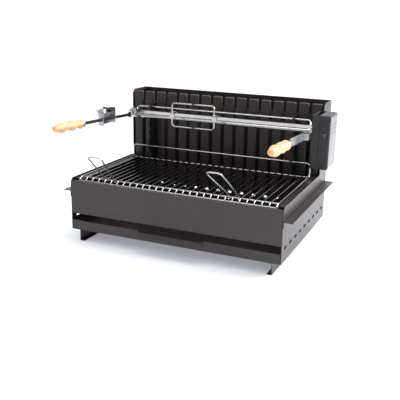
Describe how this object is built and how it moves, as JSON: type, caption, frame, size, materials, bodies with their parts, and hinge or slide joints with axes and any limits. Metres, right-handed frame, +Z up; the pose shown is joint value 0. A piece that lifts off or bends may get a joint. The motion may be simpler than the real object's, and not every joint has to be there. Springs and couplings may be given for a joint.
{
  "type": "rotisserie spit roaster",
  "caption": "Table-top charcoal barbecue with slatted upright fireback, chrome grid, ash drawer and motor-driven spit with two forks.",
  "frame": {"origin": "centre of the bounding box, on the ground under the runners", "axes": "+X along the spit towards the motor, +Y from the open front to the rear panel, +Z up"},
  "size_m": [0.7404, 0.5658, 0.417],
  "materials": {
    "firebox_paint": "semi-gloss brown-grey baked enamel on steel sheet",
    "black_paint": "satin black paint on steel",
    "slat_paint": "matt heat-resistant paint on steel slats",
    "chromed_wire": "bright chrome plate on steel wire",
    "zinc_steel": "zinc-plated steel, lightly worn",
    "beech": "turned beech, clear satin varnish",
    "black_plastic": "moulded black plastic, fine grain",
    "grey_plate": "satin light grey side plate",
    "nylon": "white nylon",
    "brass": "machined brass"
  },
  "bodies": {
    "firebox": {"left_side_panel": "firebox_paint", "right_side_panel": "firebox_paint", "front_panel": "firebox_paint", "rear_panel": "firebox_paint", "left_ledge": "firebox_paint", "right_ledge": "firebox_paint", "left_runner": "firebox_paint", "right_runner": "firebox_paint", "left_drawer_guide": "firebox_paint", "right_drawer_guide": "firebox_paint", "left_grate_rail": "firebox_paint", "right_grate_rail": "firebox_paint", "left_grid_rest": "firebox_paint", "right_grid_rest": "firebox_paint", "left_rack": "black_paint", "right_rack": "black_paint", "charcoal_grate": "black_paint", "slat_wall": "slat_paint"},
    "drawer": {"ash_drawer": "firebox_paint", "drawer_pull": "firebox_paint", "pull_rivet": "zinc_steel"},
    "grid": {"cooking_grid": "chromed_wire"},
    "grid_handle_left": {"left_grid_handle": "chromed_wire"},
    "grid_handle_right": {"right_grid_handle": "chromed_wire"},
    "spit_cradle": {"cradle_frame": "chromed_wire", "left_arm": "black_paint", "right_arm": "zinc_steel", "left_arm_bolt": "zinc_steel", "right_arm_bolt": "zinc_steel", "left_grip": "beech", "right_grip": "beech", "left_ferrule": "zinc_steel", "right_ferrule": "zinc_steel", "spit_bearing": "zinc_steel", "motor_bracket": "black_paint", "motor_stay": "zinc_steel", "gearcase_plate": "black_plastic", "motor_cover": "black_plastic", "motor_side_plate": "grey_plate", "cover_screw_1": "zinc_steel", "cover_screw_2": "zinc_steel", "cover_screw_3": "zinc_steel", "cover_screw_4": "zinc_steel", "motor_can": "zinc_steel", "idler_spindle": "zinc_steel", "cable_gland": "black_plastic"},
    "rest_slider": {"rest_bracket": "zinc_steel"},
    "rest_wing_screw": {"wing_screw": "zinc_steel"},
    "rest_latch": {"rest_keeper": "black_paint"},
    "spit": {"spit_rod": "chromed_wire"},
    "fork_left": {"left_fork": "chromed_wire"},
    "fork_right": {"right_fork": "chromed_wire"},
    "fork_screw_left": {"left_fork_screw": "zinc_steel"},
    "fork_screw_right": {"right_fork_screw": "zinc_steel"},
    "output_wheel": {"output_gear": "nylon"},
    "idler": {"idler_gear": "nylon"},
    "rotor": {"rotor_pinion": "brass"},
    "motor_switch": {"switch_rocker": "nylon"}
  },
  "joints": [
    {"name": "drawer_slide", "type": "slide", "parent": "firebox", "child": "drawer", "axis": [0, -1, 0], "range_m": [0, 0.36]},
    {"name": "grid_tilt", "type": "hinge", "parent": "firebox", "child": "grid", "pos_m": [-0.01395, 0.15593, 0.2364], "axis": [-1, 0, 0], "range_deg": [0, 20]},
    {"name": "left_handle_fold", "type": "hinge", "parent": "grid", "child": "grid_handle_left", "pos_m": [-0.22498, -0.15507, 0.1933], "axis": [-1, 0, 0], "range_deg": [0, 110]},
    {"name": "right_handle_fold", "type": "hinge", "parent": "grid", "child": "grid_handle_right", "pos_m": [0.16543, -0.15507, 0.1933], "axis": [-1, 0, 0], "range_deg": [0, 110]},
    {"name": "cradle_tilt", "type": "hinge", "parent": "firebox", "child": "spit_cradle", "pos_m": [-0.01395, 0.17393, 0.366], "axis": [-1, 0, 0], "range_deg": [0, 25]},
    {"name": "rest_slide", "type": "slide", "parent": "spit_cradle", "child": "rest_slider", "axis": [0, -0.999, 0.0436], "range_m": [-0.08, 0.08]},
    {"name": "wing_screw_turn", "type": "hinge", "parent": "rest_slider", "child": "rest_wing_screw", "pos_m": [-0.32895, -0.03557, 0.36883], "axis": [0, -1, 0], "range_deg": [-360, 360]},
    {"name": "keeper_swing", "type": "hinge", "parent": "rest_slider", "child": "rest_latch", "pos_m": [-0.33715, 0.02343, 0.36783], "axis": [-1, 0, 0], "range_deg": [0, 95]},
    {"name": "spit_turn", "type": "hinge", "parent": "spit_cradle", "child": "spit", "pos_m": [-0.01395, 0.10093, 0.36], "axis": [1, 0, 0], "continuous": true},
    {"name": "left_fork_slide", "type": "slide", "parent": "spit", "child": "fork_left", "axis": [-1, 0, 0], "range_m": [0, 0.1]},
    {"name": "right_fork_slide", "type": "slide", "parent": "spit", "child": "fork_right", "axis": [1, 0, 0], "range_m": [0, 0.2]},
    {"name": "left_fork_screw_turn", "type": "hinge", "parent": "fork_left", "child": "fork_screw_left", "pos_m": [-0.14595, 0.10628, 0.36], "axis": [0, 1, 0], "range_deg": [-360, 360]},
    {"name": "right_fork_screw_turn", "type": "hinge", "parent": "fork_right", "child": "fork_screw_right", "pos_m": [-0.00195, 0.10628, 0.36], "axis": [0, 1, 0], "range_deg": [-360, 360]},
    {"name": "output_turn", "type": "hinge", "parent": "spit_cradle", "child": "output_wheel", "pos_m": [0.34305, 0.10093, 0.36], "axis": [1, 0, 0], "continuous": true},
    {"name": "idler_turn", "type": "hinge", "parent": "spit_cradle", "child": "idler", "pos_m": [0.35055, 0.10093, 0.3325], "axis": [1, 0, 0], "continuous": true},
    {"name": "rotor_turn", "type": "hinge", "parent": "spit_cradle", "child": "rotor", "pos_m": [0.35055, 0.10093, 0.30625], "axis": [1, 0, 0], "continuous": true},
    {"name": "switch_rock", "type": "hinge", "parent": "spit_cradle", "child": "motor_switch", "pos_m": [0.35405, 0.05293, 0.347], "axis": [1, 0, 0], "range_deg": [-8, 8]}
  ],
  "couplings": [
    {"joint": "output_turn", "follows": "spit_turn", "ratio": 1},
    {"joint": "idler_turn", "follows": "spit_turn", "ratio": -3.4},
    {"joint": "rotor_turn", "follows": "spit_turn", "ratio": 10.88}
  ]
}
